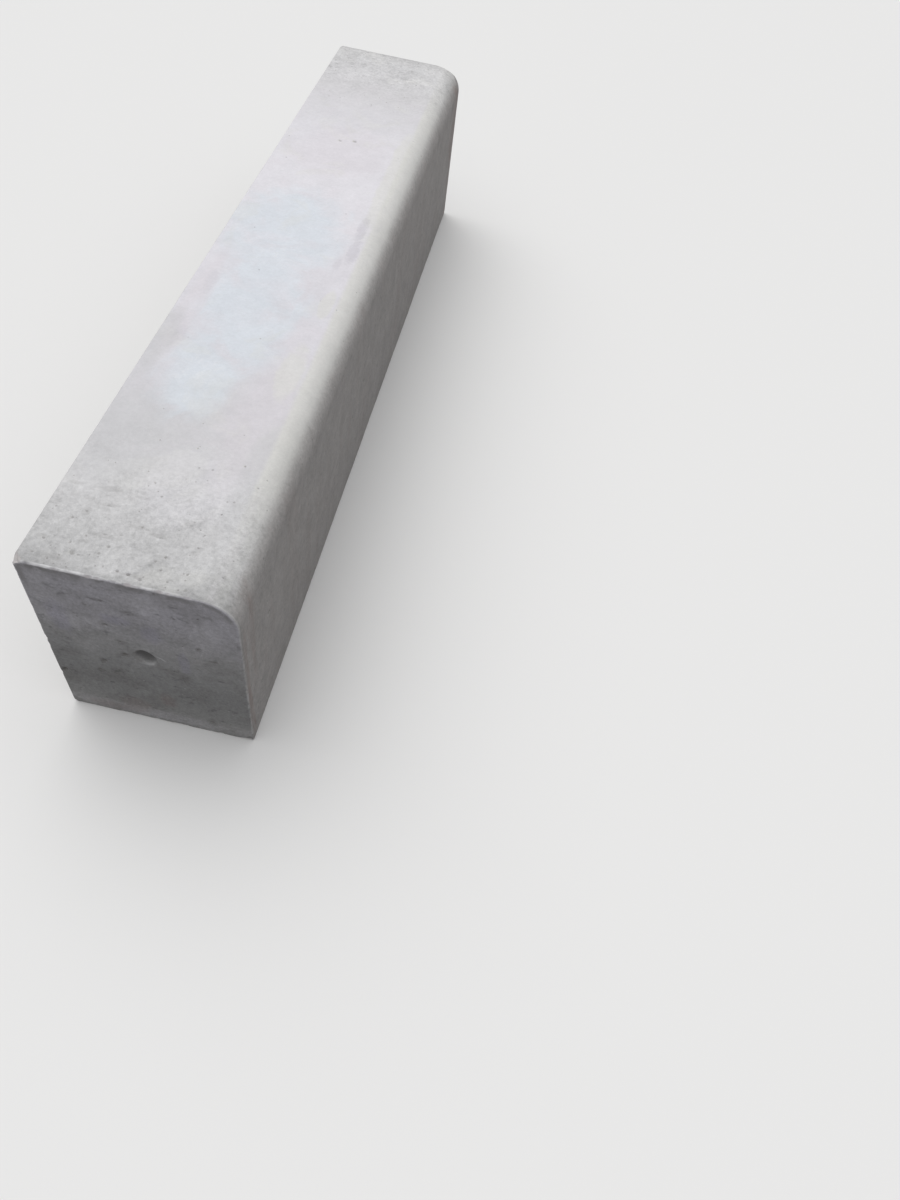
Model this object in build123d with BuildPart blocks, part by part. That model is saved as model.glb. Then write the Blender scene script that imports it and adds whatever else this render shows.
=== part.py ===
from build123d import *
import os

# A precast concrete kerb stone, standing on its bed. +Y runs along the stone, +Z is up and
# the rounded upper edge, the one towards the road, is on +X. The origin is the middle of the bed.

# The cross-section
section_width = 180.0
section_height = 220.0
road_edge_radius = 30.0  # the rounded upper edge
arris_radius = 2.0  # the three plain long edges

# Along the stone
kerb_length = 1000.0
end_arris_radius = 1.5  # the edges round both end faces

# The round dimple in each end face, on the stone's middle line
dimple_height = 114.0  # of its middle above the bed
dimple_diameter = 22.0  # where the bowl meets the face, before its rim is eased
dimple_depth = 7.0
dimple_rim_radius = 3.0

# The bowl is a cap of a sphere, which follows from its mouth and its depth
dimple_mouth_radius = dimple_diameter / 2
dimple_sphere_radius = (dimple_mouth_radius**2 + dimple_depth**2) / (2 * dimple_depth)

# The planes of the two end faces, facing out, with their origins in the middle of the dimples
near_end = Plane(origin=(0, -kerb_length / 2, dimple_height), z_dir=(0, -1, 0))
far_end = Plane(origin=(0, kerb_length / 2, dimple_height), z_dir=(0, 1, 0))

# The section's corners, from the foot of the back face, and the radius of each
section_corners = [
    (-section_width / 2, 0),
    (section_width / 2, 0),
    (section_width / 2, section_height),
    (-section_width / 2, section_height),
]
corner_radii = [arris_radius, arris_radius, road_edge_radius, arris_radius]


with BuildPart() as kerb_stone:
    # The block, drawn as its section and run both ways from the middle of its length
    with BuildSketch(Plane.XZ) as section:
        with BuildLine() as outline:
            FilletPolyline(*section_corners, radius=corner_radii, close=True)
        make_face()
    extrude(amount=kerb_length / 2, both=True)

    # The end arrises, eased as the mould leaves them, round the road edge too
    end_faces = kerb_stone.faces().filter_by(Axis.Y)
    fillet([edge for face in end_faces for edge in face.outer_wire().edges()], radius=end_arris_radius)

    # A bowl in each end face
    with Locations(*[end.offset(dimple_sphere_radius - dimple_depth) for end in (near_end, far_end)]):
        Sphere(dimple_sphere_radius, mode=Mode.SUBTRACT)

    # Its rim rolls over into the face
    end_faces = kerb_stone.faces().filter_by(Axis.Y)
    fillet([edge for face in end_faces for edge in face.inner_wires().edges()], radius=dimple_rim_radius)

kerb_stone.part.label = "kerb_stone"


os.makedirs("parts", exist_ok=True)
export_step(kerb_stone.part, "parts/kerb_stone.step")
print(f"kerb stone: {kerb_stone.part.volume / 1e6:.3f} litres")
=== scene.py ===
import math
import random
from functools import reduce
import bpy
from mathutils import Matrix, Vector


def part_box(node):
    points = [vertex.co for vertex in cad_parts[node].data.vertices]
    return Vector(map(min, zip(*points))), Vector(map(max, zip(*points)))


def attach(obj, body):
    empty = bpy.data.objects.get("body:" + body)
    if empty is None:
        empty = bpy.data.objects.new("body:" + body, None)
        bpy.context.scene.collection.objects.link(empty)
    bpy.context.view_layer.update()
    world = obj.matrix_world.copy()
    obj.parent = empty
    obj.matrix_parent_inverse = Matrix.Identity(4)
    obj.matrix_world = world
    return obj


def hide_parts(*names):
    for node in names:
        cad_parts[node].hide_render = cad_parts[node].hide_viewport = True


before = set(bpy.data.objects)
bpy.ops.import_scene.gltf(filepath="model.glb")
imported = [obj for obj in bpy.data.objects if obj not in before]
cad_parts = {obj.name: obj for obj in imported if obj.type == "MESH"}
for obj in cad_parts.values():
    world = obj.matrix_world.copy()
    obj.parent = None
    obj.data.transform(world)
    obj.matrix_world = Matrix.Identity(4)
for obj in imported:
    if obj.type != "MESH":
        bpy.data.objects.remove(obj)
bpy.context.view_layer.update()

from types import SimpleNamespace

import bmesh
import bpy
import numpy as np
from mathutils import Matrix, Vector, kdtree, noise

stoneLow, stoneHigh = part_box("kerb_stone")
halfWidth = (stoneHigh.x - stoneLow.x) / 2
halfLength = (stoneHigh.y - stoneLow.y) / 2
stoneHeight = stoneHigh.z
print("frame loaded, stone", round(2 * halfWidth, 3), round(2 * halfLength, 3), round(stoneHeight, 3))


# Camera, where the photograph was taken from, and the studio
cameraSpec = {
    "place": (0.2587, -0.8679, 0.7811),
    "down": 53.10,  # degrees below level
    "turn": 1.39,   # degrees to the left of the stone's length
    "roll": 11.34,
    "lens": 26.2,
    "sensor": 36.0,
}
studio = {
    "keyStrength": 1.05,
    "keyFrom": (-0.45, 0.42, 0.79),  # from the left, behind the near end
    "keySpread": 58.0,               # degrees across, a broad soft lamp
    "keyColor": (1.0, 0.99, 0.98),
    "skyColor": (0.985, 0.985, 1.0),
    "skyLow": 0.10,                  # strength at the horizon
    "skyHigh": 1.42,                 # and overhead, a soft light from above
    "skyPower": 2.0,                 # how late it brightens on its way up
    "paleColor": (0.84, 0.84, 0.83),
    "floorSeen": (0.80, 0.80, 0.79),
    "floorBounce": (0.215, 0.213, 0.212),
    "floorSize": 30.0,
}


def placed(name, data):
    # puts an object with that data in the scene
    made = bpy.data.objects.new(name, data)
    bpy.context.scene.collection.objects.link(made)
    return made


def makeCamera():
    data = bpy.data.cameras.new("photoCamera")
    data.sensor_width = cameraSpec["sensor"]
    data.lens = cameraSpec["lens"]
    data.clip_start = 0.01
    camera = placed("photoCamera", data)
    turn = Matrix.Rotation(math.radians(cameraSpec["turn"]), 4, "Z")
    tip = Matrix.Rotation(math.radians(90 - cameraSpec["down"]), 4, "X")
    roll = Matrix.Rotation(math.radians(cameraSpec["roll"]), 4, "Z")
    camera.matrix_world = Matrix.Translation(cameraSpec["place"]) @ turn @ tip @ roll
    bpy.context.scene.camera = camera


def makeLights():
    lamp = bpy.data.lights.new("keyLamp", "SUN")
    lamp.energy = studio["keyStrength"]
    lamp.angle = math.radians(studio["keySpread"])
    lamp.color = studio["keyColor"]
    key = placed("keyLamp", lamp)
    key.rotation_mode = "QUATERNION"
    key.rotation_quaternion = Vector(studio["keyFrom"]).to_track_quat("Z", "Y")


# Small helpers for node trees
def emptyTree(owner):
    owner.use_nodes = True
    owner.node_tree.nodes.clear()
    return owner.node_tree


def addNode(tree, kind, **settings):
    node = tree.nodes.new(kind)
    for name, value in settings.items():
        setattr(node, name, value)
    return node


def feed(tree, node, **inputs):
    # a socket is linked when it is given one, and set when it is given a value
    for name, value in inputs.items():
        socket = node.inputs[int(name[1:])] if name[0] == "i" and name[1:].isdigit() else node.inputs[name]
        if isinstance(value, bpy.types.NodeSocket):
            tree.links.new(value, socket)
        else:
            socket.default_value = value
    return node


def calc(tree, operation, *values, kind="ShaderNodeMath"):
    node = addNode(tree, kind, operation=operation)
    return feed(tree, node, **{f"i{index}": value for index, value in enumerate(values)}).outputs[0]


def product(tree, *values):
    return reduce(lambda first, second: calc(tree, "MULTIPLY", first, second), values)


def total(tree, *values):
    return reduce(lambda first, second: calc(tree, "ADD", first, second), values)


def vectorCalc(tree, operation, *values):
    return calc(tree, operation, *values, kind="ShaderNodeVectorMath")


def axesOf(tree, vector):
    return feed(tree, addNode(tree, "ShaderNodeSeparateXYZ"), Vector=vector).outputs


def remap(tree, value, low, high, toLow=0.0, toHigh=1.0, smooth=True):
    node = addNode(tree, "ShaderNodeMapRange", interpolation_type="SMOOTHSTEP" if smooth else "LINEAR")
    ends = {"From Min": low, "From Max": high, "To Min": toLow, "To Max": toHigh}
    return feed(tree, node, Value=value, **ends).outputs["Result"]


def mixColor(tree, factor, first, second, blend="MIX"):
    node = addNode(tree, "ShaderNodeMix", data_type="RGBA", blend_type=blend)
    feed(tree, node, i0=factor, i6=first, i7=second)
    return node.outputs[2]


def noiseOf(tree, vector, scale, detail=3.0, roughness=0.55, distortion=0.0):
    node = addNode(tree, "ShaderNodeTexNoise")
    feed(tree, node, Vector=vector, Scale=scale, Detail=detail, Roughness=roughness, Distortion=distortion)
    return node.outputs["Fac"]


def rampOf(tree, value, stops):
    node = addNode(tree, "ShaderNodeValToRGB")
    elements = node.color_ramp.elements
    elements.remove(elements[1])
    elements[0].position, elements[0].color = stops[0][0], (*stops[0][1], 1.0)
    for place, color in stops[1:]:
        elements.new(place).color = (*color, 1.0)
    feed(tree, node, Fac=value)
    return node.outputs["Color"]


def newGroup(name, inputs, outputs):
    group = bpy.data.node_groups.new(name, "ShaderNodeTree")
    for side, labels in (("INPUT", inputs), ("OUTPUT", outputs)):
        for label in labels:
            kind = "NodeSocketVector" if label == "Vector" else "NodeSocketFloat"
            group.interface.new_socket(name=label, in_out=side, socket_type=kind)
    return group, addNode(group, "NodeGroupInput").outputs, addNode(group, "NodeGroupOutput")


def useGroup(tree, group, **inputs):
    return feed(tree, addNode(tree, "ShaderNodeGroup", node_tree=group), **inputs).outputs


def seenMask(tree):
    # 1 where the camera or a mirror image sees the studio, and 0 where the studio only lights the stone
    path = addNode(tree, "ShaderNodeLightPath").outputs
    mirrored = calc(tree, "MAXIMUM", path["Is Glossy Ray"], path["Is Transmission Ray"])
    return calc(tree, "MAXIMUM", path["Is Camera Ray"], mirrored)


def makeFloor():
    size = studio["floorSize"] / 2
    mesh = bpy.data.meshes.new("studioFloor")
    corners = [(-size, -size, 0), (size, -size, 0), (size, size, 0), (-size, size, 0)]
    mesh.from_pydata(corners, [], [(0, 1, 2, 3)])
    material = bpy.data.materials.new("studioFloor")
    tree = emptyTree(material)
    color = mixColor(tree, seenMask(tree), (*studio["floorBounce"], 1), (*studio["floorSeen"], 1))
    surface = feed(tree, addNode(tree, "ShaderNodeBsdfDiffuse"), Color=color)
    feed(tree, addNode(tree, "ShaderNodeOutputMaterial"), Surface=surface.outputs[0])
    mesh.materials.append(material)
    floor = placed("studioFloor", mesh)


def makeWorld():
    world = bpy.data.worlds.new("studioSky")
    tree = emptyTree(world)
    way = addNode(tree, "ShaderNodeTexCoord").outputs["Generated"]
    rise = calc(tree, "POWER", calc(tree, "MAXIMUM", axesOf(tree, way)["Z"], 0.0), studio["skyPower"])
    low, high = (tuple(studio[end] * c for c in studio["skyColor"]) for end in ("skyLow", "skyHigh"))
    sky = mixColor(tree, rise, (*low, 1), (*high, 1))
    color = mixColor(tree, seenMask(tree), sky, (*studio["paleColor"], 1))
    background = feed(tree, addNode(tree, "ShaderNodeBackground"), Color=color, Strength=1.0)
    feed(tree, addNode(tree, "ShaderNodeOutputWorld"), Surface=background.outputs[0])
    bpy.context.scene.world = world


bpy.context.scene.view_settings.view_transform = "Standard"
makeCamera()
makeLights()
makeWorld()
makeFloor()
print("camera, lamp, sky and floor made")


# The kerb's body: its sizes in metres, how finely its mesh is divided, how far from flat its faces were cast,
# and how its edges have worn
kerb = {
    "roadRadius": 0.030,       # the rounded upper edge, on the road side
    "arrisRadius": 0.002,      # the plain long edges
    "endArrisRadius": 0.0015,  # round both end faces
    "dimpleHeight": 0.114,     # of its middle above the bed
    "dimpleWidth": 0.022,
    "dimpleDepth": 0.007,
    "dimpleRim": 0.003,
    "dimpleNarrowing": 0.19,   # the share that it loses in width above its middle
    "narrowHeights": (-0.001, 0.010),  # above its middle, where this starts and is full
    "narrowReach": (0.012, 0.022),     # and from its middle, where it fades out
    # the mesh
    "fineStep": 0.0011,        # grid spacing beside an edge
    "faceStep": 0.0062,        # and on the faces
    "bedStep": 0.009,
    "lengthStep": 0.009,
    "growth": 1.35,            # from one step to the next on the faces
    "lengthGrowth": 1.22,      # and along the stone
    "endReach": 0.090,         # about how far an end face runs out from its dimple
    "roundSteps": 18,
    "arrisSteps": 4,
    "bowlSteps": 8,
    "rimSteps": 5,
    "pitDetail": 0.55,         # longest edge in a pit, as a share of its radius
    "dragDetail": 0.0008,
    "chipDetail": 0.0013,
    "wearDetail": 0.0028,
    "outlineDetail": 0.0017,
    "outlineReach": 0.0030,    # how far from an end's outline the mesh is fine
    "outlineSpacing": 0.005,
    "refinePasses": 6,
    # relief and wear
    "waveDepth": 0.0005,
    "waveSize": 0.24,
    "rippleDepth": 0.00012,
    "rippleSize": 0.035,
    "bedRough": 0.0014,        # the bed was floated by hand
    "bedSize": 0.030,
    "endWear": (0.0006, 0.0015),   # least and most that the end arrises have lost
    "footWear": (0.0003, 0.0024),  # the ragged foot of the end faces
    "footBand": (0.003, 0.012),    # heights where the foot's wear is full and where it has faded
    "wearZone": 0.008,         # how far in from the arrises the wear is worked out
    "wearSize": 0.018,
    "wearGrain": 0.0055,
    # where the colour of the arrises lies, in depth under the faces: pale rub and painted highlight, then
    # painted shade
    "rubAndHighlightBand": (0.0013, 0.0024),    # the rubbed arris fades here
    "shadeLineStart": (0.0012, 0.0026),  # the dark line under the upper arris starts here
    "shadeLineEnd": (0.0042, 0.0090),
    "shadeLineHeights": (0.175, 0.200),  # and it fades out down the end face here
    "freshLoss": 0.0008,            # what a chip has lost where it looks fresh
}


def gradedSteps(length, fine, coarse, growth):
    # places from 0 to length, close together at both ends and wider apart in the middle
    side, step = [0.0], fine
    while step < coarse and side[-1] + step < length / 2 - coarse:
        side.append(side[-1] + step)
        step *= growth
    middle = length - 2 * side[-1]
    count = max(1, round(middle / coarse))
    inner = [side[-1] + middle * i / count for i in range(1, count)]
    return side + inner + [length - place for place in reversed(side)]


def sectionOutline():
    # the section's points and their outward normals, from the back foot over the top to the road foot
    arris, road = kerb["arrisRadius"], kerb["roadRadius"]
    corners = [(-halfWidth, 0.0, arris), (-halfWidth, stoneHeight, arris),
               (halfWidth, stoneHeight, road), (halfWidth, 0.0, arris)]
    points, normals = [], []
    for index, (x, z, radius) in enumerate(corners):
        nextX, nextZ, nextRadius = corners[(index + 1) % 4]
        afterX, afterZ, _ = corners[(index + 2) % 4]
        start, end = Vector((x, z)), Vector((nextX, nextZ))
        along = (end - start).normalized()
        out = Vector((-along.y, along.x))
        onward = (Vector((afterX, afterZ)) - end).normalized()
        nextOut = Vector((-onward.y, onward.x))
        straight = (end - start).length - radius - nextRadius
        coarse = kerb["bedStep"] if index == 3 else kerb["faceStep"]
        for step in gradedSteps(straight, kerb["fineStep"], coarse, kerb["growth"]):
            points.append(start + along * (radius + step))
            normals.append(out)
        centre = end - along * nextRadius - out * nextRadius
        steps = kerb["roundSteps"] if nextRadius == road else kerb["arrisSteps"]
        for step in range(1, steps):
            angle = math.pi / 2 * step / steps
            normal = out * math.cos(angle) + nextOut * math.sin(angle)
            points.append(centre + normal * nextRadius)
            normals.append(normal)
    return np.array(points), np.array(normals)


def dimpleProfile():
    # (reach, depth) from the bottom of the bowl out to where its rim meets the face
    mouth, depth, rim = kerb["dimpleWidth"] / 2, kerb["dimpleDepth"], kerb["dimpleRim"]
    bowl = (mouth**2 + depth**2) / (2 * depth)
    rise = bowl - depth  # how far the bowl's own centre stands out from the face
    rimReach = math.sqrt((bowl + rim)**2 - (rise + rim)**2)
    swing = math.atan2(rimReach, rise + rim)
    bowlSteps, rimSteps = kerb["bowlSteps"], kerb["rimSteps"]
    angles = [swing * i / bowlSteps for i in range(1, bowlSteps + 1)]
    profile = [(bowl * math.sin(angle), bowl * math.cos(angle) - rise) for angle in angles]
    angles = [swing * (1 - i / rimSteps) for i in range(1, rimSteps + 1)]
    return profile + [(rimReach - rim * math.sin(angle), rim - rim * math.cos(angle)) for angle in angles]


def kerbRings():
    # rings of points from the middle of the near dimple, along the stone, to the middle of the far one
    points, normals = sectionOutline()
    easing = kerb["endArrisRadius"]
    middle = np.array([0.0, kerb["dimpleHeight"]])
    rim = points - normals * easing
    rays = rim - middle
    rays /= np.linalg.norm(rays, axis=1, keepdims=True)
    profile = dimpleProfile()
    rings = [(middle + rays * reach, depth) for reach, depth in profile]
    start = middle + rays * profile[-1][0]
    reach = kerb["endReach"]
    places = gradedSteps(reach, kerb["fineStep"], kerb["faceStep"], kerb["growth"])
    rings += [(start + (rim - start) * place / reach, 0.0) for place in places[1:]]
    for step in range(1, kerb["arrisSteps"]):
        angle = math.pi / 2 * step / kerb["arrisSteps"]
        rings.append((points - normals * easing * (1 - math.sin(angle)), easing * (1 - math.cos(angle))))
    near = [(ring, depth - halfLength) for ring, depth in rings]
    straight = 2 * (halfLength - easing)
    along = gradedSteps(straight, kerb["fineStep"], kerb["lengthStep"], kerb["lengthGrowth"])
    body = [(points, easing - halfLength + place) for place in along]
    far = [(ring, halfLength - depth) for ring, depth in reversed(rings)]
    bottom = kerb["dimpleDepth"] - halfLength
    return near + body + far, Vector((0, bottom, middle[1])), Vector((0, -bottom, middle[1]))


def blockMesh():
    # the plain block, skinned over its rings
    rings, nearMiddle, farMiddle = kerbRings()
    count = len(rings[0][0])
    verts = [tuple(nearMiddle)]
    for ring, y in rings:
        verts += [(x, y, z) for x, z in ring]
    verts.append(tuple(farMiddle))
    faces = []
    for i in range(count):
        j = (i + 1) % count
        faces.append((0, 1 + j, 1 + i))
        for r in range(len(rings) - 1):
            a, b = 1 + r * count, 1 + (r + 1) * count
            faces.append((a + i, a + j, b + j, b + i))
        last = 1 + (len(rings) - 1) * count
        faces.append((last + i, last + j, len(verts) - 1))
    bm = bmesh.new()
    made = [bm.verts.new(v) for v in verts]
    for face in faces:
        bm.faces.new([made[k] for k in face])
    bm.normal_update()
    return bm


# Marks on the faces: air pits, the scratches of the float and chips of the edges. Sizes in millimetres
marks = {
    "seed": 7,
    # air pits of the near end's top that show: across the stone, in from the end, width
    "topPits": [(-49, 19, 6.0), (-44, 18, 2.4), (-25, 32, 3.4), (-46, 38, 2.4), (-76, 27, 2.6),
                (-78, 12, 2.4), (-64, 53, 3.8), (-56, 62, 2.4), (-8, 58, 2.4), (21, 34, 3.0), (15, 28, 2.8),
                (22, 21, 3.4), (-9, 11, 3.4), (0, 10, 3.6), (10, 8, 3.8), (43, 22, 2.6), (47, 7, 3.0),
                (40, 22, 2.0), (31, 11, 2.4)],
    # the float's drag marks there: across, in from the end, length
    "topDrags": [(-41, 72, 12), (-33, 43, 15), (-21, 46, 9), (10, 51, 14), (-2, 56, 9), (-78, 30, 10),
                 (-42, 18, 7), (5, 20, 7), (34, 13, 6)],
    # pits of the near end face: across, height, width
    "endPits": [(-27, 154, 4.4), (-25, 188, 2.4), (-4, 177, 2.0), (-18, 112, 4.2), (-40, 94, 5.2),
                (-48, 76, 3.6), (-84, 61, 7.6), (-86, 58, 4.0), (51, 147, 3.0), (64, 132, 2.8),
                (-19, 132, 2.4), (56, 193, 2.0), (-51, 158, 2.0), (-21, 109, 2.6), (-43, 88, 2.6),
                (51, 20, 3.2), (14, 34, 2.0)],
    # drag marks of the near end face: across, height, length
    "endDrags": [(-24, 190, 12), (-4, 181, 14), (-40, 178, 9), (12, 176, 10), (42, 160, 8), (60, 132, 10),
                 (-68, 140, 12), (-20, 133, 10), (-44, 84, 12)],
    # two on the top, in from the far end
    "farPits": [(-20, 270, 4.2), (-2, 265, 5.0)],
    # the pale scrape beside the near dimple: across, height, width, depth, stretch, and its turn in radians
    "scrape": (15, 118, 3.4, 0.3, 4.0, -0.69),
    # least and most of the pits' depth, as a share of the width, of their stretch, and of the drags' width
    "pitDepth": (0.3, 0.45),
    "pitStretch": (1.0, 1.7),
    "dragWidth": (1.6, 2.6),
    "dragDepth": 0.4,
    # pits strewn on the top beside each end: how many, and the least and most across, inwards and wide
    "endScatter": (44, (-85, 50), (4, 164), (1.0, 2.4)),
    # and elsewhere: the face, how many, and the least and most across, in degrees on the rounding, then along
    # or up, and wide
    "scatter": [("top", 8, (-85, 50), (-320, 380), (0.9, 1.6)),
                ("near", 18, (-82, 78), (20, 170), (0.9, 2.0)),
                ("far", 36, (-82, 78), (20, 170), (0.9, 2.0)),
                ("back", 34, (-490, 490), (10, 170), (1.0, 3.2)),
                ("back", 9, (-470, 470), (30, 160), (3.5, 6.5)),
                ("road", 34, (-490, 490), (10, 170), (1.0, 3.2)),
                ("road", 9, (-470, 470), (30, 160), (3.5, 6.5)),
                ("round", 10, (10, 85), (-490, 490), (0.9, 1.8))],
    # chips of the near end's top arris: across the stone, length, depth
    "lipChips": [(-56, 5, 0.5), (-29, 8, 0.8), (-21, 5, 0.6), (3, 7, 0.9), (9, 4, 0.5), (28, 6, 0.9),
                 (35, 4, 0.6), (51, 5, 0.6)],
    # worn corners and larger bites: the place in halves of the width and length and in heights, the way out,
    # the length and the depth
    "cornerBites": [((-1, -1, 1), (-0.45, -0.45, 1.0), 30, 4.2), ((0.93, -1, 0), (0.1, -1, -1), 15, 2.2),
                    ((-1, 1, 1), (-0.6, 0.6, 0.8), 16, 2.6), ((1, 1, 0), (0.7, 0.7, -0.5), 16, 3.0),
                    ((-1, -1, 0), (-0.7, -0.7, -0.6), 13, 2.2), ((-0.1, 1, 0), (0, 1, -1), 18, 2.4)],
    # the worn far corner of the rounding, given in the same way
    "softWear": [((0.80, 1, 1), (0.2, 0.8, 0.6), 70, 4.2)],
    "edgeChips": 34,  # small ones, strewn along all the arrises
    "chipLength": (3.5, 8),
    "chipDepth": (0.07, 0.11),  # as a share of the length
    "chipRough": 0.05,
    "wearRough": 0.002,
    "chipSink": 0.8,  # a chip starts from the worn arris, which lies this far in
}
mm = 0.001


def markOn(face, across, along, width, **more):
    # a mark with its place, its outward normal and its own two directions in the face
    near, far = -halfLength, halfLength
    frames = {
        "top": ((across, along, stoneHeight), (0, 0, 1), (1, 0, 0)),
        "near": ((across, near, along), (0, -1, 0), (1, 0, 0)),
        "far": ((across, far, along), (0, 1, 0), (1, 0, 0)),
        "back": ((-halfWidth, across, along), (-1, 0, 0), (0, 1, 0)),
        "road": ((halfWidth, across, along), (1, 0, 0), (0, 1, 0)),
    }
    if face == "round":
        radius = kerb["roadRadius"]
        angle = math.radians(across)
        out = Vector((math.sin(angle), 0, math.cos(angle)))
        place = Vector((halfWidth - radius, along, stoneHeight - radius)) + out * radius
        first = Vector((math.cos(angle), 0, -math.sin(angle)))
    else:
        place, out, first = (Vector(v) for v in frames[face])
    turn = more["turn"]
    second = out.cross(first)
    firstTurned = first * math.cos(turn) + second * math.sin(turn)
    return {"place": place, "out": out, "first": firstTurned, "second": out.cross(firstTurned),
            "radius": width / 2, "depth": more["depth"], "stretch": more["stretch"],
            "kind": more.get("kind", "pit")}


def plannedMarks():
    rng = random.Random(marks["seed"])
    found = []

    def pit(face, across, along, width):
        found.append(markOn(face, across, along, width, depth=width * rng.uniform(*marks["pitDepth"]),
                            stretch=rng.uniform(*marks["pitStretch"]), turn=rng.uniform(-0.4, 0.5)))

    def drag(face, across, along, length, tilt=0.02):
        wide = rng.uniform(*marks["dragWidth"]) * mm
        found.append(markOn(face, across, along, wide, depth=marks["dragDepth"] * mm,
                            stretch=0.75 * length * mm / wide, turn=tilt + rng.uniform(-0.10, 0.10),
                            kind="drag"))

    for across, along, width in marks["topPits"]:
        pit("top", across * mm, along * mm - halfLength, width * mm)
    for across, along, width in marks["farPits"]:
        pit("top", across * mm, halfLength - along * mm, width * mm)
    for across, along, width in marks["endPits"]:
        pit("near", across * mm, along * mm, width * mm)
    for across, along, length in marks["topDrags"]:
        drag("top", across * mm, along * mm - halfLength, length)
    for across, along, length in marks["endDrags"]:
        drag("near", across * mm, along * mm, length, 0.12)
    across, up, width, depth, stretch, turn = marks["scrape"]
    found.append(markOn("near", across * mm, up * mm, width * mm, depth=depth * mm, stretch=stretch,
                        turn=turn, kind="scrape"))
    count, side, inwards, wide = marks["endScatter"]
    for end in (-1, 1):
        for _ in range(count):
            inward = inwards[0] + (inwards[1] - inwards[0]) * rng.random()**1.7  # closer together by the end
            pit("top", rng.uniform(*side) * mm, end * (halfLength - inward * mm), rng.uniform(*wide) * mm)
    for face, count, side, along, wide in marks["scatter"]:
        unit = 1 if face == "round" else mm
        for _ in range(count):
            pit(face, rng.uniform(*side) * unit, rng.uniform(*along) * mm, rng.uniform(*wide) * mm)
    return found


def cornerBalls(bites):
    # a ball that bites is the middle of the bite, the way out, its length and its depth
    return [(Vector((x * halfWidth, y * halfLength, z * stoneHeight)), Vector(out).normalized(), length * mm,
             depth * mm) for (x, y, z), out, length, depth in bites]


def plannedChips():
    # balls that bite chips out of the arrises
    rng = random.Random(marks["seed"] + 1)
    found = [(Vector((across * mm, -halfLength, stoneHeight)), Vector((0, -1, 0.7)).normalized(), length * mm,
              depth * mm) for across, length, depth in marks["lipChips"]]
    found += cornerBalls(marks["cornerBites"])
    left, right, low, high, near, far = -halfWidth, halfWidth, 0, stoneHeight, -halfLength, halfLength
    edges = []  # a start, an end and the way out of each arris
    for y, end in ((near, -1), (far, 1)):
        edges.append(((left, y, low), (left, y, high), (-1, end, 0)))
        edges.append(((right, y, low), (right, y, high - 0.04), (1, end, 0)))
        edges.append(((left, y, low), (right, y, low), (0, end, -1)))
    edges.append(((left, far, high), (0.05, far, high), (0, 1, 1)))
    for x, z, out in ((left, low, (-1, 0, -1)), (right, low, (1, 0, -1)), (left, high, (-1, 0, 1))):
        edges.append(((x, near, z), (x, far, z), out))
    for index in range(marks["edgeChips"]):
        start, end, out = (Vector(v) for v in edges[index % len(edges)])
        place = start.lerp(end, rng.uniform(0.03, 0.97))
        length = rng.uniform(*marks["chipLength"]) * mm
        found.append((place, out.normalized(), length, length * rng.uniform(*marks["chipDepth"])))
    return found


def endOutlinePlaces():
    # places all round the outline of both end faces, where the mesh is made fine enough for the wear
    points, _ = sectionOutline()
    loop = np.vstack([points, points[:1]])
    runs = np.cumsum(np.r_[0, np.linalg.norm(np.diff(loop, axis=0), axis=1)])
    stations = np.arange(0, runs[-1], kerb["outlineSpacing"])
    x, z = np.interp(stations, runs, loop[:, 0]), np.interp(stations, runs, loop[:, 1])
    return [(Vector((a, end * halfLength, b)), kerb["outlineReach"], kerb["outlineDetail"])
            for end in (-1, 1) for a, b in zip(x, z)]


def detailPlaces(found, chips, worn):
    # where the mesh has to be finer: a place, how far round it and the longest edge there
    places = []
    for mark in found:
        radius, stretch = mark["radius"], mark["stretch"]
        if mark["kind"] == "pit":
            places.append((mark["place"], radius * 1.25, kerb["pitDetail"] * radius))
            continue
        count = max(1, round(stretch / 2))
        for i in range(count):
            shift = ((i + 0.5) / count * 2 - 1) * radius * stretch
            places.append((mark["place"] + mark["first"] * shift, radius * 1.6, kerb["dragDetail"]))
    for balls, detail in ((chips, kerb["chipDetail"]), (worn, kerb["wearDetail"])):
        places += [(place, length * 0.55, detail) for place, _, length, _ in balls]
    return places + endOutlinePlaces()


def edgeMiddles(bm):
    tree = kdtree.KDTree(len(bm.edges))
    for edge in bm.edges:
        tree.insert((edge.verts[0].co + edge.verts[1].co) / 2, edge.index)
    tree.balance()
    return tree


def refineAround(bm, places):
    # halves the edges near each mark until they are short enough for its shape
    for _ in range(kerb["refinePasses"]):
        bm.edges.ensure_lookup_table()
        bm.edges.index_update()
        tree = edgeMiddles(bm)
        longest = max(edge.calc_length() for edge in bm.edges)
        chosen = set()
        for place, reach, target in places:
            for _, index, distance in tree.find_range(place, reach + 0.7 * longest):
                length = bm.edges[index].calc_length()
                if length > target * 1.5 and distance < reach + 0.7 * length:
                    chosen.add(index)
        if not chosen:
            break
        bmesh.ops.subdivide_edges(bm, edges=[bm.edges[i] for i in sorted(chosen)], cuts=1, use_grid_fill=True)
    bm.normal_update()


def fractal(point, size, octaves=3):
    return noise.fractal(Vector(point) / size, 1.0, 2.0, octaves)


def smoothStep(value, low, high):
    share = np.clip((value - low) / (high - low), 0, 1)
    return share * share * (3 - 2 * share)


def sideDepth(points):
    # how deep each point lies under the section's outline, with the arrises taken as sharp
    x, z = points[:, 0], points[:, 2]
    radius = kerb["roadRadius"]
    flat = np.minimum.reduce([x + halfWidth, halfWidth - x, z, stoneHeight - z])
    rounded = radius - np.hypot(x - (halfWidth - radius), z - (stoneHeight - radius))
    inCorner = (x > halfWidth - radius) & (z > stoneHeight - radius)
    return np.where(inCorner, rounded, flat)


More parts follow.
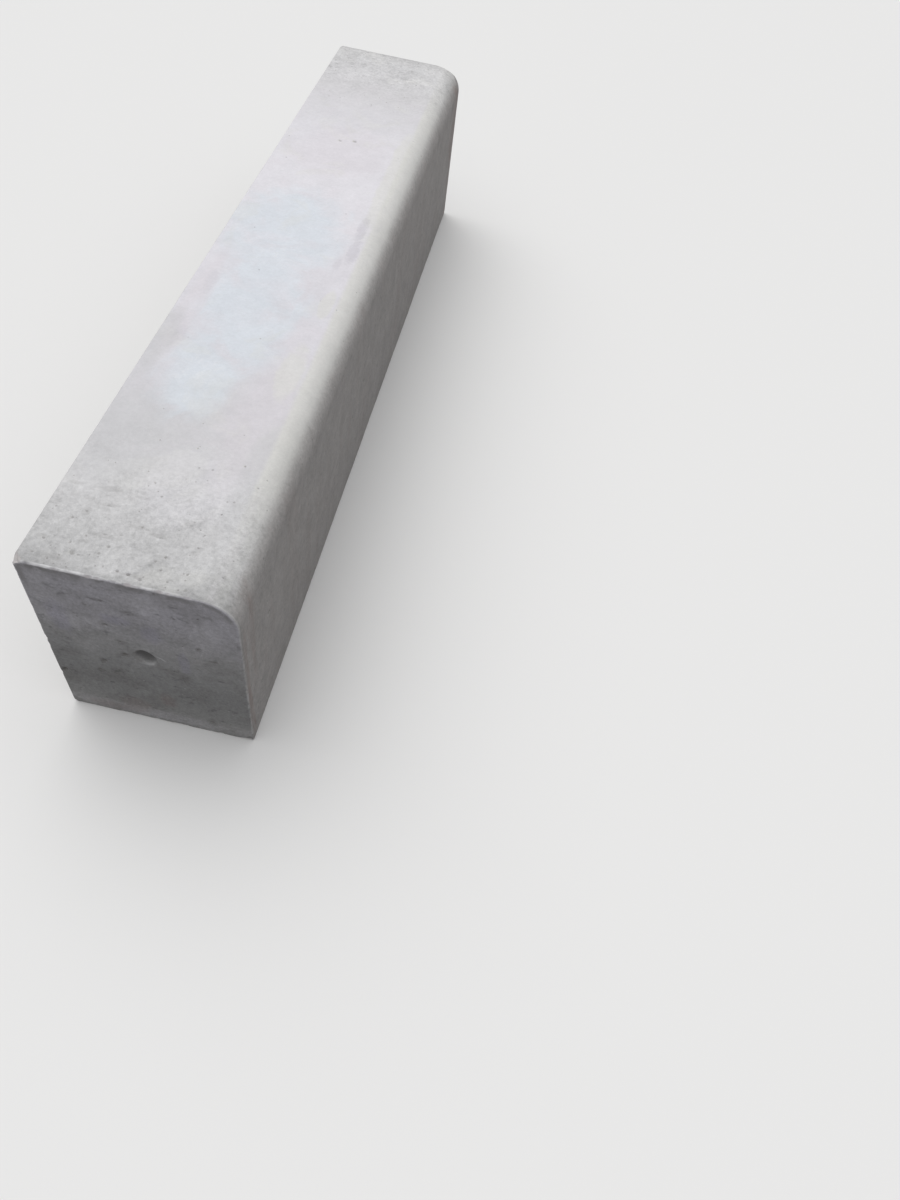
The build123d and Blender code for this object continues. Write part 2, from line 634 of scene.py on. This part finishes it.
def unevenFaces(points, normals):
    # the faces as cast, with slow waves and ripples, and a rough bed
    waves = np.array([fractal(p, kerb["waveSize"], 2) for p in points])
    ripples = np.array([fractal(p + np.array((5.1, 2.3, 8.7)), kerb["rippleSize"], 3) for p in points])
    inward = kerb["waveDepth"] * smoothStep(waves, -0.15, 0.9)
    inward += kerb["rippleDepth"] * smoothStep(ripples, -0.2, 0.8)
    bed = (normals[:, 2] < -0.7) & (points[:, 2] < 0.001)
    rough = np.array([fractal(p, kerb["bedSize"], 4) if b else 0.0 for p, b in zip(points, bed)])
    inward = np.where(bed, kerb["bedRough"] * smoothStep(rough, 0.0, 0.9), inward)
    return points - normals * inward[:, None]


def narrowDimples(points, moved):
    # the dimples are a little narrower above their middle than below it
    above = points[:, 2] - kerb["dimpleHeight"]
    fade = 1 - smoothStep(np.hypot(points[:, 0], above), *kerb["narrowReach"])
    close = np.abs(points[:, 1]) > halfLength - 0.01
    moved[:, 0] *= 1 - kerb["dimpleNarrowing"] * smoothStep(above, *kerb["narrowHeights"]) * fade * close


def wearArrises(points, moved):
    # cuts the end arrises off at a slant, more in some places than in others, with a more ragged foot
    ends = halfLength - np.abs(moved[:, 1])
    side = sideDepth(moved)
    footFull, footEnd = kerb["footBand"]
    foot = smoothStep(-points[:, 2], -footEnd, -footFull)
    size, grain, zone = kerb["wearSize"], kerb["wearGrain"], kerb["wearZone"]
    wear = np.array([fractal(p, size, 3) + 0.6 * fractal(p, grain, 3) if a + b < zone else 0.0
                     for p, a, b in zip(points, ends, side)])
    wear = smoothStep(wear, -0.5, 0.7)
    low = kerb["endWear"][0] * (1 - foot) + kerb["footWear"][0] * foot
    high = kerb["endWear"][1] * (1 - foot) + kerb["footWear"][1] * foot
    cut = np.clip(low + (high - low) * wear - ends - side, 0, None) / 2
    moved[:, 1] -= np.sign(moved[:, 1]) * cut
    across, up = -moved[:, 0], stoneHeight / 2 - moved[:, 2]
    sideways = np.abs(across) / halfWidth > np.abs(up) / (stoneHeight / 2)
    moved[:, 0] += np.where(sideways, np.sign(across) * cut, 0)
    moved[:, 2] += np.where(sideways, 0, np.sign(up) * cut)


def bitten(points, chips, rough):
    # pushes what lies inside each chip's ball out to the ball's face, and returns how much was lost
    lost = np.zeros(len(points))
    for place, out, length, depth in chips:
        radius = (length**2 / 4 + depth**2) / (2 * depth)
        centre = np.array(place + out * (radius - depth - marks["chipSink"] * mm))
        near = np.nonzero(np.linalg.norm(points - centre, axis=1) < radius * 1.15)[0]
        for index in near:
            away = points[index] - centre
            distance = np.linalg.norm(away)
            edge = radius * (1 + rough * fractal(points[index], 0.004, 3))
            if distance < edge:
                points[index] = centre + away / distance * edge
                lost[index] = max(lost[index], edge - distance)
    return lost


def pressed(points, found):
    # sinks the marks, and returns how dark they are painted at each point, dirt and painted shade, below 0
    # for the pale scrape
    hollow = np.zeros(len(points))
    tree = kdtree.KDTree(len(points))
    for index, point in enumerate(points):
        tree.insert(point, index)
    tree.balance()
    for mark in found:
        radius, stretch = mark["radius"], mark["stretch"]
        for co, index, _ in tree.find_range(mark["place"], radius * max(1.0, stretch) * 1.4 + 0.0015):
            offset = co - mark["place"]
            if abs(offset.dot(mark["out"])) > 0.003:  # round the corner, on another face
                continue
            u = offset.dot(mark["first"]) / (radius * stretch)
            v = offset.dot(mark["second"]) / radius
            if mark["kind"] != "pit":
                v += 0.8 * noise.noise(co / 0.006)
            reach = math.hypot(u, v) * (1 + 0.35 * noise.noise(co / (1.1 * radius) + Vector((9, 4, 1))))
            if reach < 1:
                share = (1 - reach**2.5)**2
                points[index] -= np.array(mark["out"]) * mark["depth"] * share
                darkness = {"pit": 1.0, "drag": 0.6, "scrape": -1.0}[mark["kind"]] * share
                hollow[index] = min(hollow[index], darkness) if darkness < 0 else max(hollow[index], darkness)
    return hollow


def vertexValues(mesh, name):
    values = np.empty(len(mesh.vertices) * 3)
    mesh.vertices.foreach_get(name, values)
    return values.reshape(-1, 3)


def addMasks(mesh, points, hollow, lost):
    # tells the material where the marks, the arrises, the painted shade line under them, the dimples and the
    # chips are
    ends = halfLength - np.abs(points[:, 1])
    side = sideDepth(points)
    arris = 1 - smoothStep(ends + side, *kerb["rubAndHighlightBand"])
    underLipShade = smoothStep(side, *kerb["shadeLineStart"]) * (1 - smoothStep(side, *kerb["shadeLineEnd"]))
    underLipShade *= smoothStep(points[:, 2], *kerb["shadeLineHeights"])
    inCup = np.hypot(points[:, 0], points[:, 2] - kerb["dimpleHeight"]) < kerb["dimpleWidth"]
    cup = np.where(inCup, np.clip(ends / kerb["dimpleDepth"], 0, 1), 0)
    broken = np.clip(lost / kerb["freshLoss"], 0, 1)
    masks = {"hollow": hollow, "arris": arris, "underLipShade": underLipShade, "cup": cup, "broken": broken}
    for name, values in masks.items():
        attribute = mesh.attributes.new(name, "FLOAT", "POINT")
        attribute.data.foreach_set("value", values.astype(np.float32))


def makeKerb():
    found, chips, worn = plannedMarks(), plannedChips(), cornerBalls(marks["softWear"])
    bm = blockMesh()
    refineAround(bm, detailPlaces(found, chips, worn))
    mesh = bpy.data.meshes.new("kerbConcrete")
    bm.to_mesh(mesh)
    bm.free()
    points, normals = vertexValues(mesh, "co"), vertexValues(mesh, "normal")
    moved = unevenFaces(points, normals)
    narrowDimples(points, moved)
    wearArrises(points, moved)
    bitten(moved, worn, marks["wearRough"])
    lost = bitten(moved, chips, marks["chipRough"])
    hollow = pressed(moved, found)
    moved = np.clip(moved, (-halfWidth, -halfLength, 0), (halfWidth, halfLength, stoneHeight))
    mesh.vertices.foreach_set("co", moved.astype(np.float32).ravel())
    addMasks(mesh, moved, hollow, lost)
    mesh.update()
    mesh.shade_smooth()
    mesh.validate()
    mesh.calc_loop_triangles()
    print("kerb mesh made,", len(mesh.loop_triangles), "triangles")
    return placed("kerbConcrete", mesh)


# Concrete: the top is the smooth cast face, bluish and pale in the middle and greyer at the ends
concrete = {
    # tones along the top from the near end, and up the end faces from the foot
    "topTones": [(0.00, (0.43, 0.43, 0.43)), (0.025, (0.52, 0.52, 0.52)), (0.10, (0.585, 0.582, 0.585)),
                 (0.20, (0.60, 0.595, 0.613)), (0.32, (0.675, 0.665, 0.70)), (0.48, (0.705, 0.693, 0.727)),
                 (0.62, (0.73, 0.718, 0.75)), (0.76, (0.695, 0.685, 0.715)), (0.88, (0.625, 0.618, 0.628)),
                 (0.96, (0.60, 0.598, 0.602)), (1.00, (0.57, 0.567, 0.565))],
    # the end faces are darker than the top as painted shade, and paler at the foot and towards the top partly
    # as painted light
    "endTonesWithShade": [(0.00, (0.50, 0.495, 0.49)), (0.06, (0.55, 0.545, 0.54)), (0.12, (0.41, 0.408, 0.406)),
                 (0.28, (0.355, 0.355, 0.356)), (0.42, (0.395, 0.395, 0.398)), (0.60, (0.49, 0.487, 0.495)),
                 (0.75, (0.55, 0.542, 0.575)), (0.90, (0.585, 0.575, 0.62)), (1.00, (0.56, 0.55, 0.585))],
    "blueTone": (0.665, 0.72, 0.77),
    "pinkTone": (0.685, 0.652, 0.685),
    "greyTone": (0.565, 0.565, 0.575),
    "paleTone": (0.70, 0.69, 0.725),
    "creamTone": (0.685, 0.682, 0.648),
    "lilacTone": (0.52, 0.505, 0.545),
    # patches on the top, in millimetres: the middle across and along the stone, and half the two widths
    "bluePatches": [(-34, -250, 36, 56), (-18, -130, 50, 115), (-24, 12, 62, 82)],
    "pinkPatches": [(-73, -155, 11, 100), (42, -300, 30, 80), (-10, 200, 60, 60)],
    "creamPatches": [(54, -105, 7, 24), (50, -215, 12, 40), (60, 160, 10, 120)],
    "saltPatches": [(-34, -248, 24, 28), (-10, -30, 30, 30)],
    # the grey patch on the rounding by the near end is partly painted shade
    "greyPatches": [(-64, -350, 28, 65), (60, -370, 14, 70), (-82, -215, 12, 50)],
    "palePatches": [(12, -392, 34, 44)],
    "smudges": [(55, 42, 5.2, 24), (56.5, -4, 6.2, 22)],
    "faintSmudges": [(45.5, -34, 3.5, 14), (-69, -107, 5.5, 20), (-67, -201, 6, 15)],
    "clumps": [(-42, -427, 7, 1.6), (-56, -438, 3, 4), (-33, -459, 11, 1.8), (-12, -443, 8, 2.2),
               (7, -447, 8, 1.8), (-77, -411, 6, 2), (-77, -471, 5, 2), (-60, -424, 5, 2),
               (-46, -468, 5, 1.4), (-62, -490, 9, 4), (21, -466, 5, 1.6), (5, -490, 11, 1.8),
               (41, -457, 3, 3), (-20, -412, 6, 1.6), (-48, -410, 9, 3)],
    # stains on the end faces: the middle across and up, and half the two widths
    "rustStains": [(-24, 20, 14, 14), (11, 43, 7, 11), (-50, 10, 20, 7)],
    "endPale": [(-85, 190, 24, 45), (4, 196, 20, 12), (-55, 150, 30, 10), (60, 165, 14, 22),
                (-10, 12, 70, 8)],
    "lavenderStains": [(-68, 152, 9, 22), (36, 118, 5, 16), (12, 155, 8, 12), (-18, 165, 12, 6)],
    # the smears round the end face's pits are dirt and painted shade of the pits
    "endSmears": [(-28, 190, 7, 2.2), (-30, 155, 3.5, 3), (-17, 132, 8, 3), (-18, 112, 4, 3),
                  (-42, 93, 3, 4), (-47, 75, 4, 3), (-86, 60, 3, 4.5), (52, 147, 3, 3), (64, 132, 3.5, 1.6),
                  (-3, 180, 7, 3), (34, 92, 6, 8), (52, 20, 4, 6)],
    "sideTone": (0.47, 0.455, 0.445),
    "bedTone": (0.42, 0.41, 0.39),
    "rustTone": (0.34, 0.262, 0.24),
    "saltTone": (0.77, 0.78, 0.80),
    "lavenderTone": (0.47, 0.455, 0.55),
    "endPaleTone": (0.72, 0.71, 0.75),
    # the dark tone serves dirt and painted shade in pits, the dimple and under the upper arris; the pale lip
    # tone serves rubs and painted highlights
    "dirtTone": (0.20, 0.19, 0.18),
    "paleRubAndHighlightTone": (0.74, 0.74, 0.745),
    "cupShadeTone": (0.11, 0.108, 0.105),
    "brokenTone": (0.62, 0.58, 0.57),
    # layers of the top and of the end faces, from the lowest up: patches, tone and how strongly they show,
    # and on the top how soft their edge is and whether it is ragged or torn
    "topLayers": [("bluePatches", "blueTone", 0.68, 0.75, "ragged"),
                  ("pinkPatches", "pinkTone", 0.50, 0.70, "ragged"),
                  ("creamPatches", "creamTone", 0.60, 0.50, "ragged"),
                  ("greyPatches", "greyTone", 0.55, 0.80, "ragged"),
                  ("palePatches", "paleTone", 0.26, 0.80, "ragged"),
                  ("saltPatches", "saltTone", 0.28, 0.80, "torn"),
                  ("smudges", "lilacTone", 0.46, 0.90, "torn"),
                  ("faintSmudges", "lilacTone", 0.26, 0.90, "torn"),
                  ("clumps", "dirtTone", 0.17, 0.90, "torn")],
    "endLayers": [("endPale", "endPaleTone", 0.35), ("lavenderStains", "lavenderTone", 0.45),
                  ("rustStains", "rustTone", 0.30), ("endSmears", "dirtTone", 0.36)],
    "endSoftness": 0.9,
    # how strongly the rest shows
    "pinkClouds": 0.30,
    "creamClouds": 0.25,
    # lilac stains and painted shade where the rounding turns down
    "lilacStainsAndShade": 0.36,
    "endSwirls": 0.38,
    "endRubs": 0.34,
    "darkClumps": 0.19,
    "darkMargin": 0.16,
    # pinholes, pits and drags are painted dark with dirt and painted shade in their hollows
    "pinholes": 0.40,
    "paleGrains": 0.35,
    "pitDirtAndShade": (0.58, 0.85),  # away from the end faces and on them
    "scrapeRub": 0.50,
    "rimDirt": 0.45,
    # a painted highlight on the dimple's lower rim
    "rimHighlight": 0.34,
    # painted shade with some dirt in the dimple's bowl
    "cupShadeAndDirt": 0.80,
    # pale rubs and painted highlights on the arrises, upper and upright
    "upperRubAndHighlight": 0.90,
    "uprightRubAndHighlight": 0.50,
    "chips": 0.55,
    # patterns, as repeats in a metre
    "sandScale": 1100.0,
    "skinScale": 330.0,
    "mottleScale": 150.0,
    "blotchScale": 48.0,
    "midCloudScale": 17.0,
    "fineCloudScale": 34.0,
    "speckCloudScale": 150.0,
    "pinholeScale": 170.0,
    "paleGrainScale": 260.0,
    # streaks: repeats in a metre, where one begins and where it is full, and what each axis is multiplied by
    "veins": (170.0, 0.50, 0.64, (1.0, 1.0, 1.0)),
    "lilacRuns": (19.0, 0.52, 0.70, (1.0, 0.25, 1.0)),
    "rustRuns": (60.0, 0.46, 0.72, (1.0, 1.0, 0.12)),
    "swirls": (42.0, 0.42, 0.72, (0.7, 0.7, 1.0)),
    "rubs": (105.0, 0.58, 0.70, (0.75, 0.75, 1.0)),
    "clots": (130.0, 0.53, 0.70, (0.6, 1.0, 1.0)),
    # breaks in the painted shade line under the upper arris
    "shadeDashes": (110.0, 0.40, 0.54, (0.5, 1.0, 0.5)),
    "specular": 0.3,
    "roughness": (0.72, 0.92),
    "bumpStrength": 0.35,
    "bumpDistance": 0.0006,
    "holeBump": 0.8,
}


def swing(tree, value, amount):
    # a noise value turned into a swing about 0
    return product(tree, calc(tree, "SUBTRACT", value, 0.5), amount)


def grainGroup():
    # sand grain, cement skin and blotches: swings about 0 that lighten and darken, and a height for the bump
    group, given, out = newGroup("castGrain", ["Vector"], ["Fine", "Blotch", "Height"])
    vector = given["Vector"]
    sand = noiseOf(group, vector, concrete["sandScale"], 2.0, 0.6)
    skin = noiseOf(group, vector, concrete["skinScale"], 3.0, 0.6)
    blotch = noiseOf(group, vector, concrete["blotchScale"], 5.0, 0.62, 0.6)
    mottle = noiseOf(group, vector, concrete["mottleScale"], 3.0, 0.6, 0.8)
    fine = total(group, swing(group, sand, 0.7), swing(group, skin, 1.0))
    blotches = total(group, swing(group, blotch, 1.0), swing(group, mottle, 0.6))
    height = total(group, product(group, sand, 0.35), product(group, skin, 0.65))
    feed(group, out, Fine=fine, Blotch=blotches, Height=height)
    return group


def pinholeGroup():
    # small air holes: a mask that is 1 in a hole. Share is how many of the cells have one
    group, given, out = newGroup("airPinholes", ["Vector", "Scale", "Share"], ["Mask"])
    cells = addNode(group, "ShaderNodeTexVoronoi", feature="F1")
    feed(group, cells, Vector=given["Vector"], Scale=given["Scale"])
    pick = addNode(group, "ShaderNodeSeparateColor")
    feed(group, pick, Color=cells.outputs["Color"])
    chosen = calc(group, "LESS_THAN", pick.outputs["Red"], given["Share"])
    size = remap(group, pick.outputs["Green"], 0.0, 1.0, 0.10, 0.26, smooth=False)
    inside = calc(group, "SUBTRACT", size, cells.outputs["Distance"])
    mask = remap(group, inside, 0.0, 0.08)
    feed(group, out, Mask=product(group, mask, chosen))
    return group


def cloudGroup():
    # slow drifts of tone over the face
    group, given, out = newGroup("cloudDrift", ["Vector", "Scale"], ["Drift", "Patch"])
    drift = noiseOf(group, given["Vector"], given["Scale"], 3.0, 0.5, 0.3)
    shifted = vectorCalc(group, "ADD", given["Vector"], (3.7, 1.9, 6.2))
    patch = noiseOf(group, shifted, given["Scale"], 4.0, 0.6, 0.8)
    feed(group, out, Drift=drift, Patch=patch)
    return group


def streakGroup():
    # marks drawn out one way, by how the vector has been stretched
    group, given, out = newGroup("drawnStreaks", ["Vector", "Scale", "Low", "High"], ["Mask"])
    value = noiseOf(group, given["Vector"], given["Scale"], 4.0, 0.65, 0.2)
    feed(group, out, Mask=remap(group, value, given["Low"], given["High"]))
    return group


def attributeOf(tree, name):
    return addNode(tree, "ShaderNodeAttribute", attribute_name=name).outputs["Fac"]


def layer(tree, color, mask, tone):
    return mixColor(tree, mask, color, (*concrete[tone], 1))


def patchMask(tree, place, patches, ragged, soft=0.5, upright=False):
    # 1 inside any of some ellipses, on the top or on the ends, with edges made ragged by a swing about 0
    reach = None
    for x, y, wide, long in patches:
        scale, shift = (1 / (wide * mm), 1 / (long * mm), 0), (-x / wide, -y / long, 0)
        if upright:
            scale, shift = (scale[0], 0, scale[1]), (shift[0], 0, shift[1])
        offset = vectorCalc(tree, "MULTIPLY_ADD", place, scale, shift)
        length = addNode(tree, "ShaderNodeVectorMath", operation="LENGTH")
        distance = feed(tree, length, i0=offset).outputs["Value"]
        reach = distance if reach is None else calc(tree, "MINIMUM", reach, distance)
    edge = calc(tree, "MULTIPLY_ADD", reach, reach, ragged)
    return remap(tree, edge, 1.0 + soft, 1.0 - soft)


def streaksOf(tree, on, name):
    scale, low, high, factors = concrete[name]
    drawn = vectorCalc(tree, "MULTIPLY", on.place, factors)
    return useGroup(tree, on.streakNode, Vector=drawn, Scale=scale, Low=low, High=high)["Mask"]


def surveyFaces(tree):
    # what the layers need: the place on the stone, which way its face looks, how near an end is, how rough it
    # is, and the clouds that make edges ragged or torn
    on = SimpleNamespace(streakNode=streakGroup())
    on.place = addNode(tree, "ShaderNodeTexCoord").outputs["Object"]
    on.axes = axesOf(tree, on.place)
    on.facing = axesOf(tree, addNode(tree, "ShaderNodeNewGeometry").outputs["Normal"])
    on.grain = useGroup(tree, grainGroup(), Vector=on.place)
    cloudNode = cloudGroup()
    mid, fine, speck = (useGroup(tree, cloudNode, Vector=on.place, Scale=concrete[name + "CloudScale"])
                        for name in ("mid", "fine", "speck"))
    on.midClouds, on.fineClouds = mid, fine
    on.ragged = total(tree, swing(tree, mid["Patch"], 1.9), swing(tree, fine["Patch"], 1.9))
    on.torn = total(tree, swing(tree, fine["Patch"], 1.2), swing(tree, speck["Patch"], 3.2))
    on.end = remap(tree, calc(tree, "ABSOLUTE", on.facing["Y"]), 0.45, 0.80)
    on.side = remap(tree, calc(tree, "ABSOLUTE", on.facing["X"]), 0.60, 0.95)
    on.bed = remap(tree, on.facing["Z"], -0.4, -0.8)
    on.fromEnd = calc(tree, "SUBTRACT", halfLength, calc(tree, "ABSOLUTE", on.axes["Y"]))
    on.inward = total(tree, on.fromEnd, swing(tree, mid["Drift"], 0.10))
    on.endZone = remap(tree, on.inward, 0.19, 0.03)
    on.rough = calc(tree, "MAXIMUM", calc(tree, "MAXIMUM", on.endZone, product(tree, on.end, 1.5)),
                    product(tree, on.side, 0.8))
    holeNode = pinholeGroup()
    share = remap(tree, on.rough, 0.0, 1.0, 0.01, 0.10, smooth=False)
    on.holes = useGroup(tree, holeNode, Vector=on.place, Scale=concrete["pinholeScale"], Share=share)["Mask"]
    turned = vectorCalc(tree, "MULTIPLY", on.place, (-1.0, 1.0, -1.0))
    on.paleGrains = useGroup(tree, holeNode, Vector=turned, Scale=concrete["paleGrainScale"],
                             Share=product(tree, share, 0.5))["Mask"]
    return on


def topColor(tree, on):
    # pale and bluish in the middle, with pink and creamy clouds and a few grey smudges
    drift = swing(tree, on.midClouds["Drift"], 0.08)
    along = total(tree, product(tree, on.axes["Y"], 0.5 / halfLength), 0.5, drift)
    color = rampOf(tree, along, concrete["topTones"])
    pink = product(tree, remap(tree, on.midClouds["Patch"], 0.50, 0.68), remap(tree, on.endZone, 1.0, 0.0))
    cream = remap(tree, on.midClouds["Patch"], 0.46, 0.34)
    clouds = {"pinkPatches": product(tree, pink, concrete["pinkClouds"]),
              "creamPatches": product(tree, cream, concrete["creamClouds"])}
    edges = {"ragged": on.ragged, "torn": on.torn}
    for name, tone, share, softness, edge in concrete["topLayers"]:
        mask = product(tree, patchMask(tree, on.place, concrete[name], edges[edge], softness), share)
        if name in clouds:
            mask = calc(tree, "MAXIMUM", mask, clouds[name])
        if name == "saltPatches":
            mask = product(tree, mask, streaksOf(tree, on, "veins"))
        color = layer(tree, color, mask, tone)
    return color


def roundingColor(tree, on, color):
    # the rounding is creamier than the top, with lilac streaks of stain and painted shade where it turns down
    awayFromEnds = remap(tree, on.endZone, 1.0, 0.0, 0.25, 0.8)
    band = product(tree, remap(tree, on.facing["X"], 0.04, 0.25), awayFromEnds)
    color = layer(tree, color, band, "creamTone")
    turnedDown = remap(tree, on.facing["X"], 0.01, 0.30)
    stainsAndShade = product(tree, streaksOf(tree, on, "lilacRuns"), turnedDown, concrete["lilacStainsAndShade"])
    return layer(tree, color, stainsAndShade, "lilacTone")


def sideColor(tree, on):
    # grey, with rust that has run down beside the ends
    rust = product(tree, streaksOf(tree, on, "rustRuns"), remap(tree, on.inward, 0.06, 0.0, 0.15, 0.75))
    return mixColor(tree, rust, (*concrete["sideTone"], 1), (*concrete["rustTone"], 1))


def endColor(tree, on):
    # darker than the top as painted shade, paler in a ragged band at the foot partly as painted light, with
    # level drag marks and rusty stains
    up = total(tree, product(tree, on.axes["Z"], 1 / stoneHeight), swing(tree, on.fineClouds["Drift"], 0.10))
    color = rampOf(tree, up, concrete["endTonesWithShade"])
    swirls = product(tree, streaksOf(tree, on, "swirls"), concrete["endSwirls"])
    color = layer(tree, color, swirls, "dirtTone")
    inPatches = remap(tree, on.fineClouds["Patch"], 0.44, 0.56)
    rubs = product(tree, streaksOf(tree, on, "rubs"), inPatches, concrete["endRubs"])
    color = layer(tree, color, rubs, "dirtTone")
    for name, tone, share in concrete["endLayers"]:
        mask = patchMask(tree, on.place, concrete[name], on.torn, concrete["endSoftness"], upright=True)
        color = layer(tree, color, product(tree, mask, share), tone)
    return color


def grainOver(tree, on, color):
    # grain and blotches, stronger by the ends, where dark clumps and a dark margin show too
    fine = product(tree, on.grain["Fine"], remap(tree, on.rough, 0.0, 1.1, 0.17, 0.66, smooth=False))
    blotch = product(tree, on.grain["Blotch"], remap(tree, on.rough, 0.1, 1.5, 0.14, 0.76, smooth=False))
    drift = swing(tree, on.fineClouds["Drift"], 0.12)
    inPatches = remap(tree, on.fineClouds["Patch"], 0.42, 0.58)
    clumps = product(tree, streaksOf(tree, on, "clots"), on.rough, inPatches, -concrete["darkClumps"])
    broken = remap(tree, on.grain["Blotch"], -0.15, 0.10, 0.3, 1.0)
    margin = product(tree, remap(tree, on.fromEnd, 0.0075, 0.0020), broken, -concrete["darkMargin"])
    lightness = total(tree, 1.0, fine, blotch, drift, clumps, margin)
    shaded = addNode(tree, "ShaderNodeVectorMath", operation="SCALE")
    return feed(tree, shaded, i0=color, Scale=lightness).outputs[0]


def pitsOver(tree, on, color):
    # pinholes, the pits and drags of the mesh darkened with dirt and painted shade, its pale scrape, and pale
    # grains of sand
    hollow = attributeOf(tree, "hollow")
    darkening = remap(tree, on.end, 0.0, 1.0, *concrete["pitDirtAndShade"])
    darkness = product(tree, remap(tree, hollow, 0.0, 1.0), darkening)
    dark = calc(tree, "MAXIMUM", product(tree, on.holes, concrete["pinholes"]), darkness)
    color = layer(tree, color, dark, "dirtTone")
    lightened = remap(tree, hollow, 0.0, -0.8, 0.0, concrete["scrapeRub"])
    color = layer(tree, color, lightened, "paleRubAndHighlightTone")
    return layer(tree, color, product(tree, on.paleGrains, concrete["paleGrains"]), "paleRubAndHighlightTone")


def dimpleOver(tree, on, color):
    # the lower rim is dirty on the left with a painted highlight beside its middle, and the bowl has painted
    # shade and dirt
    cup = attributeOf(tree, "cup")
    rim = product(tree, remap(tree, cup, 0.01, 0.08), remap(tree, cup, 0.40, 0.15),
                  remap(tree, on.facing["Z"], 0.1, 0.5))
    darkening = product(tree, rim, remap(tree, on.axes["X"], -0.001, -0.008, 0.0, concrete["rimDirt"]))
    color = layer(tree, color, darkening, "dirtTone")
    # painted highlight on the lower rim beside its middle
    beside = calc(tree, "ABSOLUTE", calc(tree, "SUBTRACT", on.axes["X"], 0.004))
    lightened = product(tree, rim, remap(tree, beside, 0.001, 0.006, concrete["rimHighlight"], 0.0))
    color = layer(tree, color, lightened, "paleRubAndHighlightTone")
    return layer(tree, color, remap(tree, cup, 0.08, 0.9, 0.0, concrete["cupShadeAndDirt"]), "cupShadeTone")


def arrisesOver(tree, on, color):
    # the arrises rubbed pale with painted highlight, a broken line of painted shade under the upper one, and
    # fresh chips
    shadeDashes = remap(tree, streaksOf(tree, on, "shadeDashes"), 0.0, 1.0, 0.12, 0.50)
    shadeLine = product(tree, attributeOf(tree, "underLipShade"), on.end, shadeDashes)
    color = layer(tree, color, shadeLine, "dirtTone")
    # the upper arris rubbed pale with a painted highlight where it faces up, and the upright arrises likewise
    arris = attributeOf(tree, "arris")
    upper = product(tree, arris, remap(tree, on.grain["Blotch"], -0.25, 0.20, 0.0, concrete["upperRubAndHighlight"]),
                    remap(tree, on.axes["X"], 0.015, 0.060, 1.0, 0.12),
                    remap(tree, on.facing["Z"], 0.05, 0.35))
    color = layer(tree, color, upper, "paleRubAndHighlightTone")
    sideways = calc(tree, "ABSOLUTE", on.facing["X"])
    upright = product(tree, arris, remap(tree, sideways, 0.25, 0.55, 0.0, concrete["uprightRubAndHighlight"]),
                      remap(tree, on.grain["Blotch"], -0.20, 0.15))
    color = layer(tree, color, upright, "paleRubAndHighlightTone")
    chips = product(tree, attributeOf(tree, "broken"), concrete["chips"])
    return layer(tree, color, chips, "brokenTone")


def concreteMaterial():
    material = bpy.data.materials.new("castConcrete")
    tree = emptyTree(material)
    on = surveyFaces(tree)
    color = roundingColor(tree, on, topColor(tree, on))
    color = mixColor(tree, on.side, color, sideColor(tree, on))
    color = mixColor(tree, on.end, color, endColor(tree, on))
    color = layer(tree, color, on.bed, "bedTone")
    for finish in (grainOver, pitsOver, dimpleOver, arrisesOver):
        color = finish(tree, on, color)
    height = calc(tree, "SUBTRACT", on.grain["Height"], product(tree, on.holes, concrete["holeBump"]))
    bump = addNode(tree, "ShaderNodeBump")
    feed(tree, bump, Height=height, Strength=concrete["bumpStrength"], Distance=concrete["bumpDistance"])
    shader = addNode(tree, "ShaderNodeBsdfPrincipled")
    roughness = remap(tree, on.grain["Fine"], -0.4, 0.4, *concrete["roughness"], smooth=False)
    feed(tree, shader, Roughness=roughness, Normal=bump.outputs["Normal"])
    feed(tree, shader, **{"Base Color": color, "Specular IOR Level": concrete["specular"]})
    feed(tree, addNode(tree, "ShaderNodeOutputMaterial"), Surface=shader.outputs[0])
    return material


kerbPiece = makeKerb()
kerbPiece.data.materials.append(concreteMaterial())
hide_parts("kerb_stone")
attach(kerbPiece, "root")
print("concrete made")
